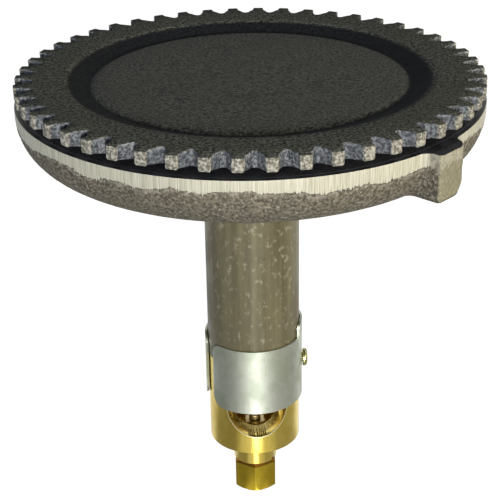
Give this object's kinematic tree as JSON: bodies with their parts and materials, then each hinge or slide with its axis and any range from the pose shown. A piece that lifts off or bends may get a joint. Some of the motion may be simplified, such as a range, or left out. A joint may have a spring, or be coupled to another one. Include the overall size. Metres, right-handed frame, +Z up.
{
  "type": "gas burner",
  "caption": "Atmospheric gas burner with a slotted round cap on a cast bowl, a vertical mixing tube and a brass mixer with a sliding air shutter.",
  "frame": {"origin": "centre of the gas inlet's threaded hole, in the end face of the hexagon", "axes": "+Z up along the mixing tube towards the cap, the mixer's air window runs along Y, +X to the side of the shutter's screw"},
  "size_m": [0.1582, 0.1582, 0.1647],
  "materials": {
    "cap_iron": "bare casting, handled smooth on top, dark grey",
    "bowl_iron": "sand-cast skin, brown grey, rim ground bright",
    "tube_steel": "bare steel pipe, brown grey mill scale, scuffed",
    "mixer_brass": "turned bare brass, slightly tarnished",
    "inlet_brass": "turned bare brass, darker tarnish",
    "jet_brass": "turned bare brass",
    "shutter_steel": "plated sheet steel, satin",
    "screw_steel": "steel with yellow zinc plating"
  },
  "bodies": {
    "burner": {"burner_cap": "cap_iron", "burner_bowl": "bowl_iron", "mixing_tube": "tube_steel", "mixer_body": "mixer_brass", "inlet_fitting": "inlet_brass", "gas_jet": "jet_brass", "shutter_screw": "screw_steel"},
    "shutter": {"air_shutter": "shutter_steel"}
  },
  "joints": [
    {"name": "shutter_slide", "type": "slide", "parent": "burner", "child": "shutter", "axis": [0, 0, 1], "range_m": [-0.0106, 0.0091]}
  ]
}
